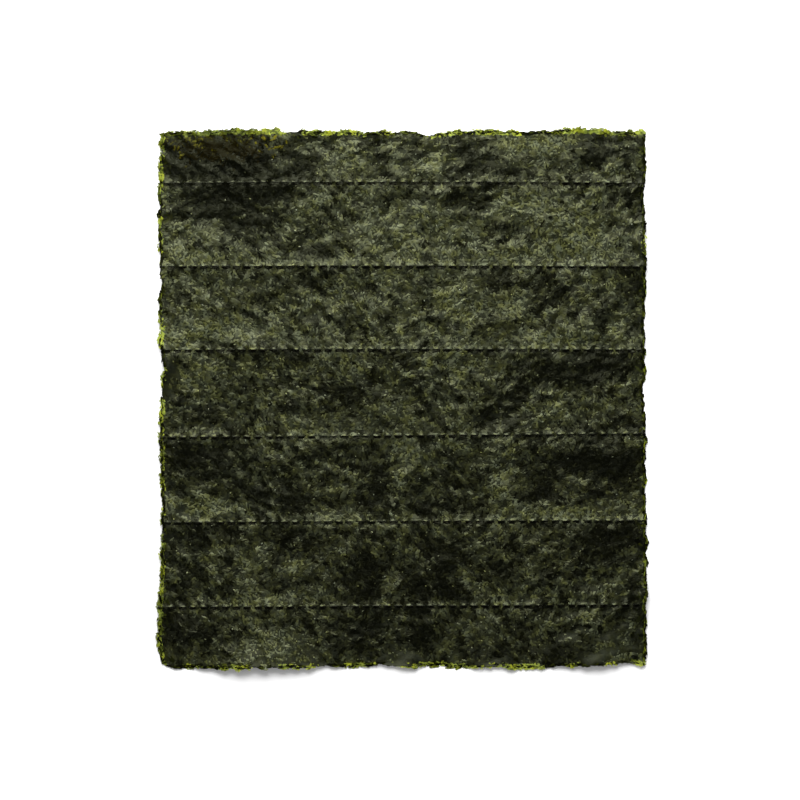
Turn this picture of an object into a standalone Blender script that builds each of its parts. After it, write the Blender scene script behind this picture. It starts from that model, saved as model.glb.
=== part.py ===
"""A sheet of roasted nori: one thin, crisp leaf of pressed seaweed, a little wavy, with six perforated
tear lines across it and ragged edges.

It lies as it does on a table, +Z up. +X runs along the tear lines, and +Y to the far edge, from which
each line's drop is measured.
"""

import math
from collections import namedtuple

import bmesh
import bpy
from mathutils import Vector, noise

MM = 0.001

# The leaf: the full standard sheet.
SHEET_WIDTH = 190 * MM
SHEET_LENGTH = 210 * MM
THICKNESS = 0.3 * MM

# The tear lines: where each lies below the far edge, how far it climbs from left to right, how far its
# ends sag, and how high the strips on both sides curl up to it.
TearLine = namedtuple("TearLine", "drop rise sag curl")
TEAR_LINES = [
    TearLine(drop=20.2 * MM, rise=0.0 * MM, sag=0.5 * MM, curl=0.3 * MM),
    TearLine(drop=52.9 * MM, rise=0.0 * MM, sag=0.2 * MM, curl=1.0 * MM),
    TearLine(drop=85.4 * MM, rise=0.1 * MM, sag=0.3 * MM, curl=0.7 * MM),
    TearLine(drop=119.0 * MM, rise=1.5 * MM, sag=0.0 * MM, curl=0.3 * MM),
    TearLine(drop=152.5 * MM, rise=0.8 * MM, sag=0.1 * MM, curl=0.4 * MM),
    TearLine(drop=185.6 * MM, rise=0.9 * MM, sag=0.0 * MM, curl=0.3 * MM),
]

# The cut slits along a tear line, and the bridges between them. Every other line is half a pitch along.
SLITS_ACROSS = 45
SLIT_PITCH = SHEET_WIDTH / SLITS_ACROSS
SLIT_LENGTH = 2.5 * MM
SLIT_GAP = 0.35 * MM
SLIT_SHIFT = -0.67 * MM

# The fold at a tear line: both strips curl up to it, the far one further back. The far side stands up in a
# lip, and the near side starts below it.
LIP_HEIGHT = 0.5 * MM
LIP_REACH = 2.2 * MM
LIP_VARIES = 0.35
LIP_WAVE = 22 * MM
CURL_REACH = 10 * MM
CURL_FALL = 7 * MM
CURL_VARIES = 0.6
CURL_WAVE = 60 * MM
FOOT_DEPTH = 0.25 * MM
FOOT_REACH = 2.0 * MM

# The leaf's own waves: their wavelength and height. Each pattern is its own slice of one solid noise.
NOISE_GAIN = 1.6
SLICES = {"broad": 0.3, "crinkle": 4.7, "lip": 9.1, "curl": 2.2, "tooth": 6.6, "stray_x": 1.5, "stray_y": 7.5}
LIE_HEIGHT = 0.4 * MM
BROAD_WAVE = 75 * MM
BROAD_HEIGHT = 0.7 * MM
CRINKLE_WAVE = 17 * MM
CRINKLE_HEIGHT = 0.45 * MM

# Single buckles, from the middle of the leaf: half sizes along and across, the turn of the long side
# from +X, and the height. A hollow's height is below zero.
Buckle = namedtuple("Buckle", "x y half_long half_short turn height")
BUCKLES = [
    Buckle(-5 * MM, 4 * MM, 11 * MM, 4.5 * MM, -25, -0.7 * MM),
    Buckle(40 * MM, -40 * MM, 14 * MM, 5 * MM, -50, 0.8 * MM),
    Buckle(-30 * MM, -17 * MM, 16 * MM, 4 * MM, 5, 0.5 * MM),
    Buckle(-60 * MM, 24 * MM, 18 * MM, 6 * MM, -20, 0.8 * MM),
    Buckle(-24 * MM, -48 * MM, 12 * MM, 5 * MM, 12, 0.6 * MM),
    Buckle(70 * MM, 29 * MM, 20 * MM, 5 * MM, 15, 0.6 * MM),
    Buckle(60 * MM, -18 * MM, 30 * MM, 6 * MM, -4, 0.6 * MM),
    Buckle(12 * MM, 74 * MM, 22 * MM, 8 * MM, 20, 0.5 * MM),
    Buckle(-78 * MM, 62 * MM, 16 * MM, 7 * MM, -35, 0.7 * MM),
    Buckle(12 * MM, -66 * MM, 17 * MM, 5 * MM, 25, 0.5 * MM),
    Buckle(-75 * MM, -36 * MM, 14 * MM, 6 * MM, 20, 0.6 * MM),
]

# Where the rim stands off the table: which edge, the place along it from the middle, how far that
# reaches along the edge, how soon it dies away into the leaf, and how high the rim comes.
RimLift = namedtuple("RimLift", "edge place half_width reach height")
RIM_LIFTS = [
    RimLift("near", -57 * MM, 24 * MM, 7.5 * MM, 2.6 * MM),
    RimLift("near", 1 * MM, 9 * MM, 5.5 * MM, 1.8 * MM),
    RimLift("near", 36 * MM, 9 * MM, 4.5 * MM, 1.0 * MM),
    RimLift("near", 56 * MM, 8 * MM, 4 * MM, 0.8 * MM),
    RimLift("right", 59 * MM, 8 * MM, 5 * MM, 1.6 * MM),
    RimLift("right", -79 * MM, 8 * MM, 4 * MM, 1.1 * MM),
    RimLift("left", 9 * MM, 11 * MM, 4.5 * MM, 0.9 * MM),
    RimLift("left", 55 * MM, 9 * MM, 4 * MM, 0.7 * MM),
    RimLift("far", -28 * MM, 14 * MM, 4.5 * MM, 0.6 * MM),
    RimLift("far", 60 * MM, 12 * MM, 4.5 * MM, 0.6 * MM),
]

# Where the outline swells out, or draws in where the last number is below zero.
RimSwell = namedtuple("RimSwell", "edge place half_width out")
RIM_SWELLS = [
    RimSwell("near", -70 * MM, 18 * MM, 1.1 * MM),
    RimSwell("near", -8 * MM, 20 * MM, -0.6 * MM),
    RimSwell("near", 46 * MM, 11 * MM, 0.9 * MM),
    RimSwell("near", 90 * MM, 11 * MM, -1.3 * MM),
    RimSwell("left", 74 * MM, 14 * MM, 1.0 * MM),
    RimSwell("left", 11 * MM, 8 * MM, -1.4 * MM),
    RimSwell("left", -47 * MM, 10 * MM, -0.8 * MM),
    RimSwell("left", -87 * MM, 15 * MM, 0.7 * MM),
    RimSwell("right", 78 * MM, 6 * MM, -0.9 * MM),
    RimSwell("right", 20 * MM, 26 * MM, -0.5 * MM),
    RimSwell("right", -70 * MM, 30 * MM, 0.5 * MM),
    RimSwell("far", 11 * MM, 7 * MM, -1.1 * MM),
    RimSwell("far", 69 * MM, 9 * MM, 1.0 * MM),
    RimSwell("far", -60 * MM, 14 * MM, 0.6 * MM),
]
SWELL_DEPTH = 9 * MM

# The torn rim: how fine its teeth are, and how far they stand out or in.
TOOTH_WAVE = 3.6 * MM
TOOTH_HEIGHT = 0.75 * MM
CORNER_RADII = {
    ("left", "far"): 3.0 * MM,
    ("right", "far"): 1.5 * MM,
    ("left", "near"): 6.5 * MM,
    ("right", "near"): 1.0 * MM,
}

# The plan grid, and how far its inner corners stray, so that the facets are as uneven as the leaf's.
COLUMNS = 30
CUTS_PER_COLUMN = 2
ROW_SPACING = 7.2 * MM
STRAY = 1.4 * MM
STRAY_WAVE = 5 * MM
RIM_STEP = 2.4 * MM
SAME = 0.01 * MM


def bell(distance, half_width):
    """A soft hump: 1 in its middle, and close to 0 beyond about one and a half half-widths."""
    return math.exp(-((distance / half_width) ** 2))


def wave(x, y, wavelength, pattern):
    """Smooth noise of about this wavelength, from -1 to 1."""
    return NOISE_GAIN * noise.noise(Vector((x / wavelength, y / wavelength, SLICES[pattern])))


def line_drop(line, x):
    """A tear line's distance from the far edge at x."""
    across = x / (SHEET_WIDTH / 2)
    return line.drop - line.rise * across / 2 + line.sag * (across**2 - 1 / 3)


def row_drops():
    """The plan's rows, from the far edge down: close together at each tear line, and even between."""
    marks = [0.0]
    for line in TEAR_LINES:
        marks.append(line.drop - LIP_REACH)
        marks.append(line.drop - SLIT_GAP / 2)
        marks.append(line.drop + SLIT_GAP / 2)
        marks.append(line.drop + FOOT_REACH)
    marks.append(SHEET_LENGTH)
    drops = []
    for start, end in zip(marks, marks[1:]):
        steps = max(1, round((end - start) / ROW_SPACING))
        drops += [start + (end - start) * step / steps for step in range(steps)]
    return drops + [SHEET_LENGTH]


def plan_of_the_leaf():
    """A flat bmesh of the leaf with its slits, as x from the middle and y as minus the drop."""
    drops = row_drops()
    plan = bmesh.new()
    bmesh.ops.create_grid(plan, x_segments=COLUMNS, y_segments=len(drops) - 1, size=0.5)
    for vert in plan.verts:
        row = round((0.5 - vert.co.y) * (len(drops) - 1))
        vert.co = Vector((vert.co.x * SHEET_WIDTH, -drops[row], 0))
    divide_the_tear_lines(plan)
    divide_the_rim(plan)
    cut_the_slits(plan)
    return plan


def tear_line_of(drop):
    """The tear line whose lip or foot lies at this drop, or None."""
    for line in TEAR_LINES:
        if abs(abs(drop - line.drop) - SLIT_GAP / 2) < SAME:
            return line
    return None


def divide_the_tear_lines(plan):
    """Cuts the edges along every lip and foot, so that each slit has its own corners."""
    edges = []
    for edge in plan.edges:
        ends = [tear_line_of(-vert.co.y) for vert in edge.verts]
        if abs(edge.verts[0].co.y - edge.verts[1].co.y) < SAME and None not in ends:
            edges.append(edge)
    bmesh.ops.subdivide_edges(plan, edges=edges, cuts=CUTS_PER_COLUMN, use_grid_fill=True)


def divide_the_rim(plan):
    """Cuts the rim's edges short enough to carry its teeth."""
    for cuts in (1, 2):
        edges = []
        for edge in plan.edges:
            if edge.is_boundary and round(edge.calc_length() / RIM_STEP) == cuts + 1:
                edges.append(edge)
        bmesh.ops.subdivide_edges(plan, edges=edges, cuts=cuts)


def cut_the_slits(plan):
    """Moves the corners between slits and bridges to their places, and takes the slits' faces out."""
    widen = SLIT_LENGTH - SLIT_PITCH / 2
    for vert in plan.verts:
        line = tear_line_of(-vert.co.y)
        corner = round((vert.co.x + SHEET_WIDTH / 2) / (SLIT_PITCH / 2))
        if line is None or corner in (0, 2 * SLITS_ACROSS):
            continue
        side = 1 if (corner + TEAR_LINES.index(line)) % 2 == 0 else -1
        vert.co.x = -SHEET_WIDTH / 2 + corner * SLIT_PITCH / 2 + SLIT_SHIFT + side * widen / 2
    slits = []
    for face in plan.faces:
        middle = face.calc_center_median()
        for number, line in enumerate(TEAR_LINES):
            if abs(-middle.y - line.drop) > SAME:
                continue
            cell = int((middle.x - SLIT_SHIFT + SHEET_WIDTH / 2) / (SLIT_PITCH / 2))
            if (cell + number) % 2 == 1 and 0 < cell < 2 * SLITS_ACROSS - 1:
                slits.append(face)
    bmesh.ops.delete(plan, geom=slits, context="FACES")


def lie(x, drop):
    """The underside's height before anything lies on the table: waves, crinkles, buckles and lips."""
    y = SHEET_LENGTH / 2 - drop
    height = LIE_HEIGHT
    height += BROAD_HEIGHT * wave(x, y, BROAD_WAVE, "broad")
    height += CRINKLE_HEIGHT * wave(x, y, CRINKLE_WAVE, "crinkle")
    for buckle in BUCKLES:
        turn = math.radians(buckle.turn)
        along = (x - buckle.x) * math.cos(turn) + (y - buckle.y) * math.sin(turn)
        aside = (y - buckle.y) * math.cos(turn) - (x - buckle.x) * math.sin(turn)
        height += buckle.height * bell(along, buckle.half_long) * bell(aside, buckle.half_short)
    for lift in RIM_LIFTS:
        place, inwards = from_the_rim(lift.edge, x, y)
        hump = bell(place - lift.place, lift.half_width)
        height += lift.height * hump * math.exp(-inwards / lift.reach)
    return height


def from_the_rim(edge, x, y):
    """A point's place along one of the four edges, from its middle, and its distance inwards from it."""
    if edge in ("left", "right"):
        return y, SHEET_WIDTH / 2 + (x if edge == "left" else -x)
    return x, SHEET_LENGTH / 2 + (y if edge == "near" else -y)


def step_at_tear_lines(x, drop):
    """The height of the lip beyond each tear line, and of the foot before it, at a drop on the plan."""
    height = 0.0
    for line in TEAR_LINES:
        beyond = line.drop - drop
        curl = line.curl * (1 + CURL_VARIES * wave(x, line.drop, CURL_WAVE, "curl"))
        if beyond > 0:
            lip = 1 + LIP_VARIES * wave(x, line.drop, LIP_WAVE, "lip")
            height += lip * LIP_HEIGHT * math.exp(-beyond / LIP_REACH)
            height += curl * math.exp(-beyond / CURL_REACH)
        else:
            height += curl * math.exp(beyond / CURL_FALL)
            height -= FOOT_DEPTH * math.exp(beyond / FOOT_REACH)
    return height


def follow_the_lines(x, drop):
    """The drop of a plan point on the real leaf, where the tear lines climb and sag a little."""
    stops = [(0.0, 0.0)]
    stops += [(line.drop, line_drop(line, x) - line.drop) for line in TEAR_LINES]
    stops += [(SHEET_LENGTH, 0.0)]
    for (start, start_shift), (end, end_shift) in zip(stops, stops[1:]):
        if drop <= end:
            share = (drop - start) / (end - start)
            return drop + start_shift + (end_shift - start_shift) * share
    return drop


def round_the_corners(x, y):
    """Draws a point in a corner's square back inside the corner's arc."""
    side = "left" if x < 0 else "right"
    end = "near" if y < 0 else "far"
    radius = CORNER_RADII[side, end]
    beyond_x = abs(x) - (SHEET_WIDTH / 2 - radius)
    beyond_y = abs(y) - (SHEET_LENGTH / 2 - radius)
    reach = math.hypot(beyond_x, beyond_y)
    if min(beyond_x, beyond_y) <= 0 or reach <= radius:
        return x, y
    pull = 1 - radius / reach
    return x - math.copysign(beyond_x * pull, x), y - math.copysign(beyond_y * pull, y)


def rim_outwards(x, y, on_the_rim):
    """How far a point moves out with the outline, as (dx, dy)."""
    out = {"left": 0.0, "right": 0.0, "near": 0.0, "far": 0.0}
    for swell in RIM_SWELLS:
        place, inwards = from_the_rim(swell.edge, x, y)
        hump = bell(place - swell.place, swell.half_width)
        out[swell.edge] += swell.out * hump * math.exp(-inwards / SWELL_DEPTH)
    if on_the_rim:
        for number, edge in enumerate(out):
            place, inwards = from_the_rim(edge, x, y)
            if inwards < RIM_STEP / 2:
                out[edge] += TOOTH_HEIGHT * wave(place, number * SHEET_WIDTH, TOOTH_WAVE, "tooth")
    return out["right"] - out["left"], out["far"] - out["near"]


def lay_the_leaf(plan):
    """Moves the flat plan to the leaf's real outline and lie. Nothing goes below the table."""
    for vert in plan.verts:
        x, drop = vert.co.x, -vert.co.y
        at_a_tear_line = tear_line_of(drop) is not None
        on_the_rim = vert.is_boundary and not at_a_tear_line
        if not vert.is_boundary and not at_a_tear_line:
            x += STRAY * wave(x, drop, STRAY_WAVE, "stray_x")
            drop += STRAY * wave(x, drop, STRAY_WAVE, "stray_y")
        y = SHEET_LENGTH / 2 - follow_the_lines(x, drop)
        height = lie(x, drop) + step_at_tear_lines(x, drop)
        x, y = round_the_corners(x, y)
        out_x, out_y = rim_outwards(x, y, on_the_rim)
        vert.co = Vector((x + out_x, y + out_y, max(0.0, height)))
    bmesh.ops.triangulate(plan, faces=plan.faces[:], quad_method="SHORT_EDGE")


def thicken(leaf):
    """Raises a copy of the underside by the thickness, with a wall round the rim and in each slit."""
    raised = bmesh.ops.extrude_face_region(leaf, geom=leaf.faces[:], use_keep_orig=True)
    verts = [item for item in raised["geom"] if isinstance(item, bmesh.types.BMVert)]
    bmesh.ops.translate(leaf, verts=verts, vec=Vector((0, 0, THICKNESS)))
    bmesh.ops.recalc_face_normals(leaf, faces=leaf.faces[:])


def centre(leaf):
    """Puts the middle of the leaf's box over the origin."""
    xs = [vert.co.x for vert in leaf.verts]
    ys = [vert.co.y for vert in leaf.verts]
    lowest = min(vert.co.z for vert in leaf.verts)
    middle = Vector(((min(xs) + max(xs)) / 2, (min(ys) + max(ys)) / 2, lowest))
    bmesh.ops.translate(leaf, verts=leaf.verts[:], vec=-middle)


def roasted_seaweed():
    """Green-black pressed seaweed with a dull sheen."""
    material = bpy.data.materials.new("roasted_seaweed")
    material.use_nodes = True
    shader = material.node_tree.nodes["Principled BSDF"]
    shader.inputs["Base Color"].default_value = (0.031, 0.035, 0.017, 1)
    shader.inputs["Roughness"].default_value = 0.55
    shader.inputs["Metallic"].default_value = 0
    return material


def nori_sheet():
    leaf = plan_of_the_leaf()
    lay_the_leaf(leaf)
    thicken(leaf)
    centre(leaf)
    mesh = bpy.data.meshes.new("nori_sheet")
    leaf.to_mesh(mesh)
    leaf.free()
    mesh.materials.append(roasted_seaweed())
    sheet = bpy.data.objects.new("nori_sheet", mesh)
    bpy.context.scene.collection.objects.link(sheet)
    return sheet


for old in list(bpy.data.objects):
    bpy.data.objects.remove(old)
nori_sheet()
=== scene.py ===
"""The looks of a sheet of roasted nori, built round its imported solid.

The sections follow the sheet as it is made: the pressed leaf with its perforated tear lines, the larger
flakes, the fine shreds on both of its sides, and its torn rim. The table, the light and the camera come
last.
"""

import math
from collections import namedtuple

import bmesh
import bpy
import numpy as np
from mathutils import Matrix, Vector, noise


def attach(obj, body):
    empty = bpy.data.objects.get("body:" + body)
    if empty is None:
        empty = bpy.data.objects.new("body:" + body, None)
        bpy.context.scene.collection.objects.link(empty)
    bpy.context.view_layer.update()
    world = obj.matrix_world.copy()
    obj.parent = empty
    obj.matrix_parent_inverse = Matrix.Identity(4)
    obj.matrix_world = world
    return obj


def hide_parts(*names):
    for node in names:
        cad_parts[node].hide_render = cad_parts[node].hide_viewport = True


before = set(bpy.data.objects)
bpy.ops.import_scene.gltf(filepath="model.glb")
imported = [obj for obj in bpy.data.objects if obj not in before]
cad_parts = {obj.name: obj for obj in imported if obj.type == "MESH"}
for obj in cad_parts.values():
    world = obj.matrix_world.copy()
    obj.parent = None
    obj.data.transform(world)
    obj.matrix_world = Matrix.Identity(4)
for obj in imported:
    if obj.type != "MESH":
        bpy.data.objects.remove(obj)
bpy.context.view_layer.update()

MM = 0.001

# ---------------------------------------------------------------------------------------------------------
# The leaf: one mat of chopped seaweed, poured thin on a screen, dried and roasted until it is crisp. It
# lies loose on the table, a little wavy and crumpled. A toothed blade pressed in its tear lines: the far
# lip of each slit stands up, and the bridges between the slits still hold the strips together.

SHEET_WIDTH = 190 * MM
SHEET_LENGTH = 210 * MM
LEAF_THICKNESS = 0.2 * MM
RIM_THICKNESS = 0.1 * MM
THINNING_REACH = 3 * MM

# Each tear line's drop from the far edge, its rise to the right, how far its middle arches up the sheet, and
# the curl of its lip.
TearLine = namedtuple("TearLine", "drop rise arch curl")
TEAR_LINES = [
    TearLine(drop=20.2 * MM, rise=0.0 * MM, arch=0.5 * MM, curl=0.3 * MM),
    TearLine(drop=52.9 * MM, rise=0.0 * MM, arch=0.2 * MM, curl=1.0 * MM),
    TearLine(drop=85.4 * MM, rise=0.1 * MM, arch=0.3 * MM, curl=0.7 * MM),
    TearLine(drop=119.0 * MM, rise=1.5 * MM, arch=0.0 * MM, curl=0.2 * MM),
    TearLine(drop=152.5 * MM, rise=0.8 * MM, arch=0.1 * MM, curl=0.25 * MM),
    TearLine(drop=185.6 * MM, rise=0.9 * MM, arch=0.0 * MM, curl=0.2 * MM),
]

SLITS_ACROSS = 45
SLIT_PITCH = SHEET_WIDTH / SLITS_ACROSS
SLIT_LENGTH = 2.5 * MM
SLIT_GAP = 0.3 * MM
SLIT_SHIFT = -0.67 * MM
SLIT_OVERHANG = 0.45 * MM
FIRST_SLIT_EVEN = 0.75
FIRST_SLIT_ODD = 1.25
SLIT_SHARE_LEVEL = 0.62
SLIT_SHARE_SWING = 0.7
# The foot of each slit is painted darker: painted shade, where the raised lip shades it.
SLIT_SHADE_DARKNESS = 2.2
SLIT_SHADE_PAST = 0.35 * MM
SLIT_SHADE_REACH = 0.6 * MM

LIP_HEIGHT = 0.1 * MM
TOOTH_MARK_HEIGHT = 0.6 * MM
LIP_REACH = 0.95 * MM
LIP_VARIES = 0.5
LIP_WAVE = 22 * MM
CURL_REACH = 10 * MM
CURL_FALL = 13 * MM
CURL_VARIES = 0.6
CURL_WAVE = 60 * MM
FOOT_DEPTH = 0.35 * MM
FOOT_REACH = 1.0 * MM

NOISE_GAIN = 1.6
# The slice of solid noise that each pattern is read from.
SLICES = {
    "broad": 0.3,
    "crinkle": 4.7,
    "lip": 9.1,
    "curl": 2.2,
    "flow": 2.2,
    "tooth": 6.6,
    "crumple": 3.4,
    "slant": 3.9,
    "cloud": 8.2,
    "clump": 1.3,
    "smooth": 6.1,
    "black": 5.5,
    "green": 7.4,
}
LIE_HEIGHT = 0.4 * MM
BROAD_WAVE = 75 * MM
BROAD_HEIGHT = 0.7 * MM
CRINKLE_WAVE = 17 * MM
CRINKLE_HEIGHT = 0.45 * MM
CRUMPLE_WAVE = 8 * MM
CRUMPLE_HEIGHT = 0.58 * MM
CRUMPLE_OCTAVES = 4
CRUMPLE_FADE = 0.55

# Where the leaf buckles up, or, below zero, down. The turn is in degrees.
Buckle = namedtuple("Buckle", "x y half_long half_short turn height")
BUCKLES = [
    Buckle(-5 * MM, 4 * MM, 11 * MM, 4.5 * MM, -25, -0.7 * MM),
    Buckle(40 * MM, -40 * MM, 14 * MM, 5 * MM, -50, 0.8 * MM),
    Buckle(-30 * MM, -17 * MM, 16 * MM, 4 * MM, 5, 0.5 * MM),
    Buckle(-60 * MM, 24 * MM, 18 * MM, 6 * MM, -20, 0.8 * MM),
    Buckle(-24 * MM, -48 * MM, 12 * MM, 5 * MM, 12, 0.6 * MM),
    Buckle(70 * MM, 29 * MM, 20 * MM, 5 * MM, 15, 0.6 * MM),
    Buckle(60 * MM, -18 * MM, 30 * MM, 6 * MM, -4, 0.6 * MM),
    Buckle(12 * MM, 74 * MM, 22 * MM, 8 * MM, 20, 0.5 * MM),
    Buckle(-78 * MM, 62 * MM, 16 * MM, 7 * MM, -35, 0.7 * MM),
    Buckle(12 * MM, -66 * MM, 17 * MM, 5 * MM, 25, 0.5 * MM),
    Buckle(-75 * MM, -36 * MM, 14 * MM, 6 * MM, 20, 0.6 * MM),
]

CREASE_COUNT = 200
CREASE_HALF_LONG = (3.5 * MM, 11 * MM)
CREASE_HALF_SHORT = (0.8 * MM, 1.7 * MM)
CREASE_TURN = (10, 60)
CREASE_HEIGHT = (0.25 * MM, 0.6 * MM)
CREASE_GENTLE = 1.7
CREASE_STEEP = 0.4

# Where the rim stands off the table, or, below zero, is pressed down to it.
RimLift = namedtuple("RimLift", "edge place half_width reach height")
RIM_LIFTS = [
    RimLift("near", -89 * MM, 10 * MM, 8 * MM, -0.9 * MM),
    RimLift("near", -51 * MM, 21 * MM, 7.5 * MM, 2.6 * MM),
    RimLift("near", 1 * MM, 9 * MM, 5.5 * MM, 2.3 * MM),
    RimLift("near", 36 * MM, 9 * MM, 4.5 * MM, 1.6 * MM),
    RimLift("near", 77 * MM, 8 * MM, 4.5 * MM, 1.8 * MM),
    RimLift("right", 59 * MM, 8 * MM, 5 * MM, 2.6 * MM),
    RimLift("right", -79 * MM, 8 * MM, 4 * MM, 2.0 * MM),
    RimLift("left", 9 * MM, 11 * MM, 4.5 * MM, 0.9 * MM),
    RimLift("left", 55 * MM, 9 * MM, 4 * MM, 0.7 * MM),
    RimLift("far", -28 * MM, 14 * MM, 4.5 * MM, 0.6 * MM),
    RimLift("far", 60 * MM, 12 * MM, 4.5 * MM, 0.6 * MM),
]

# Where the outline runs outwards, or, below zero, inwards.
WHOLE_EDGE = 1000 * MM
RimSwell = namedtuple("RimSwell", "edge place half_width out")
RIM_SWELLS = [
    RimSwell("near", -70 * MM, 18 * MM, 0.5 * MM),
    RimSwell("near", -8 * MM, 20 * MM, -0.6 * MM),
    RimSwell("near", 20 * MM, 10 * MM, -0.4 * MM),
    RimSwell("near", 70 * MM, 12 * MM, -0.8 * MM),
    RimSwell("near", 90 * MM, 11 * MM, -1.8 * MM),
    RimSwell("left", 74 * MM, 14 * MM, 0.7 * MM),
    RimSwell("left", 11 * MM, 8 * MM, -1.4 * MM),
    RimSwell("left", -47 * MM, 10 * MM, -0.8 * MM),
    RimSwell("left", -87 * MM, 15 * MM, 0.7 * MM),
    RimSwell("right", 78 * MM, 6 * MM, -0.9 * MM),
    RimSwell("right", 20 * MM, 26 * MM, -0.5 * MM),
    RimSwell("right", -70 * MM, 30 * MM, 0.5 * MM),
    RimSwell("far", 11 * MM, 7 * MM, -1.1 * MM),
    RimSwell("far", 69 * MM, 9 * MM, 1.0 * MM),
    RimSwell("far", -60 * MM, 14 * MM, 0.6 * MM),
    RimSwell("left", 0 * MM, WHOLE_EDGE, -0.3 * MM),
    RimSwell("right", 0 * MM, WHOLE_EDGE, -0.3 * MM),
    RimSwell("near", 0 * MM, WHOLE_EDGE, -0.6 * MM),
    RimSwell("far", 0 * MM, WHOLE_EDGE, -0.3 * MM),
]
SWELL_DEPTH = 9 * MM
TOOTH_WAVE = 3.6 * MM
TOOTH_HEIGHT = 0.75 * MM
EDGES = ("left", "right", "near", "far")
CORNER_RADII = {
    ("left", "far"): 3.0 * MM,
    ("right", "far"): 1.5 * MM,
    ("left", "near"): 6.5 * MM,
    ("right", "near"): 1.0 * MM,
}

# Where the mat is painted darker, below zero, or paler: partly its own tone and partly painted sheen and
# shade where its slopes catch or lose the lamp's light. The middle and half sizes in mm, and the strength.
Cast = namedtuple("Cast", "x y half_x half_y strength")
TONE_AND_SHADE_CASTS = [
    Cast(-76, 96, 18, 12, -0.8),
    Cast(-62, 96, 9, 9, -0.4),
    Cast(-58, 84, 16, 9, -0.5),
    Cast(-76, 76, 14, 6, -0.3),
    Cast(-38, 91, 9, 7, -0.2),
    Cast(-22, 93, 8, 12, 0.15),
    Cast(14, 94, 6, 6, 0.3),
    Cast(27, 94, 9, 9, -0.3),
    Cast(40, 89, 8, 5, -0.1),
    Cast(54, 100, 15, 4, 0.9),
    Cast(76, 99, 9, 8, -0.4),
    Cast(82, 90, 8, 4, 0.25),
    Cast(28, 79, 8, 5, -0.3),
    Cast(47, 77, 13, 5, 0.5),
    Cast(91, 80, 8, 4, -0.4),
    Cast(-34, 77, 6, 5, 0.3),
    Cast(-61, 68, 10, 5, -0.35),
    Cast(-83, 67, 9, 4, 0.3),
    Cast(40, 68, 10, 4, -0.25),
    Cast(6, 62, 22, 9, 0.25),
    Cast(-90, 56, 10, 6, 0.4),
    Cast(-66, 55, 18, 3, 0.2),
    Cast(-37, 58, 9, 4, -0.25),
    Cast(44, 56, 12, 4, 0.4),
    Cast(65, 62, 16, 9, 0.45),
    Cast(-38, 46, 9, 4, -0.2),
    Cast(-14, 47, 12, 4, 0.3),
    Cast(22, 38, 9, 7, 0.5),
    Cast(42, 37, 7, 5, 0.45),
    Cast(40, 47, 8, 4, -0.3),
    Cast(80, 45, 9, 4, 0.25),
    Cast(60, 45, 14, 5, -0.2),
    Cast(92, 45, 6, 9, -0.25),
    Cast(-82, 33, 12, 7, 0.25),
    Cast(60, 24, 14, 4, 0.6),
    Cast(24, 24, 9, 4, 0.2),
    Cast(-41, 25, 10, 4, 0.12),
    Cast(-76, 27, 10, 4, 0.3),
    Cast(-57, 27, 10, 7, 0.3),
    Cast(-88, 22, 10, 4, 0.5),
    Cast(66, 12, 22, 6, -0.5),
    Cast(16, 11, 13, 5, 0.2),
    Cast(-20, 13, 10, 4, 0.2),
    Cast(-53, 17, 14, 3, -0.2),
    Cast(-78, 10, 10, 7, 0.4),
    Cast(-21, 2, 11, 4, -0.3),
    Cast(40, -1, 9, 9, -0.3),
    Cast(60, -4, 9, 7, 0.25),
    Cast(84, -9, 9, 4, -0.2),
    Cast(-40, -11, 12, 4, 0.25),
    Cast(-80, -8, 8, 4, -0.2),
    Cast(-78, -22, 18, 6, -0.4),
    Cast(-80, -31, 11, 4, -0.2),
    Cast(-54, -36, 8, 8, -0.3),
    Cast(-28, -20, 9, 5, -0.25),
    Cast(1, -20, 7, 5, 0.25),
    Cast(-10, -33, 4, 9, -0.35),
    Cast(78, -24, 22, 8, -0.55),
    Cast(52, -36, 8, 5, -0.3),
    Cast(20, -31, 9, 5, -0.35),
    Cast(0, -31, 7, 4, 0.25),
    Cast(38, -33, 6, 10, 0.35),
    Cast(-80, -42, 13, 6, 0.35),
    Cast(-42, -41, 9, 4, -0.3),
    Cast(-27, -46, 8, 3, 0.25),
    Cast(10, -42, 14, 4, -0.25),
    Cast(68, -44, 28, 3, 0.4),
    Cast(-85, -53, 13, 4, -0.4),
    Cast(-45, -53, 16, 4, -0.3),
    Cast(-60, -60, 9, 6, 0.25),
    Cast(82, -54, 15, 8, -0.4),
    Cast(16, -62, 9, 7, -0.3),
    Cast(-14, -68, 6, 14, -0.35),
    Cast(-40, -65, 9, 5, 0.3),
    Cast(-45, -71, 13, 3, -0.2),
    Cast(-52, -78, 16, 3, 0.45),
    Cast(-82, -75, 9, 4, -0.2),
    Cast(20, -75, 8, 5, -0.3),
    Cast(42, -66, 9, 6, -0.25),
    Cast(62, -67, 9, 4, -0.2),
    Cast(-88, -89, 12, 6, -0.4),
    Cast(-39, -86, 8, 4, -0.25),
    Cast(-50, -95, 10, 8, 0.5),
    Cast(-17, -89, 10, 9, -0.35),
    Cast(8, -85, 6, 22, -0.35),
    Cast(62, -99, 9, 4, -0.3),
    Cast(85, -99, 12, 4, 0.4),
    Cast(92, -86, 5, 8, -0.3),
]
CLOUD_WAVE = 6 * MM
CLOUD_STRENGTH = 0.3
CLOUD_OCTAVES = 3
CLOUD_FADE = 0.5
CLOUD_STEP = 2.0
DOWN_SLANT = math.radians(-45)
UP_SLANT = math.radians(22)
SLANT_STRETCH = 1.7
SLANT_WAVE = 30 * MM
SLANT_CHANGE = 1.0

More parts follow.
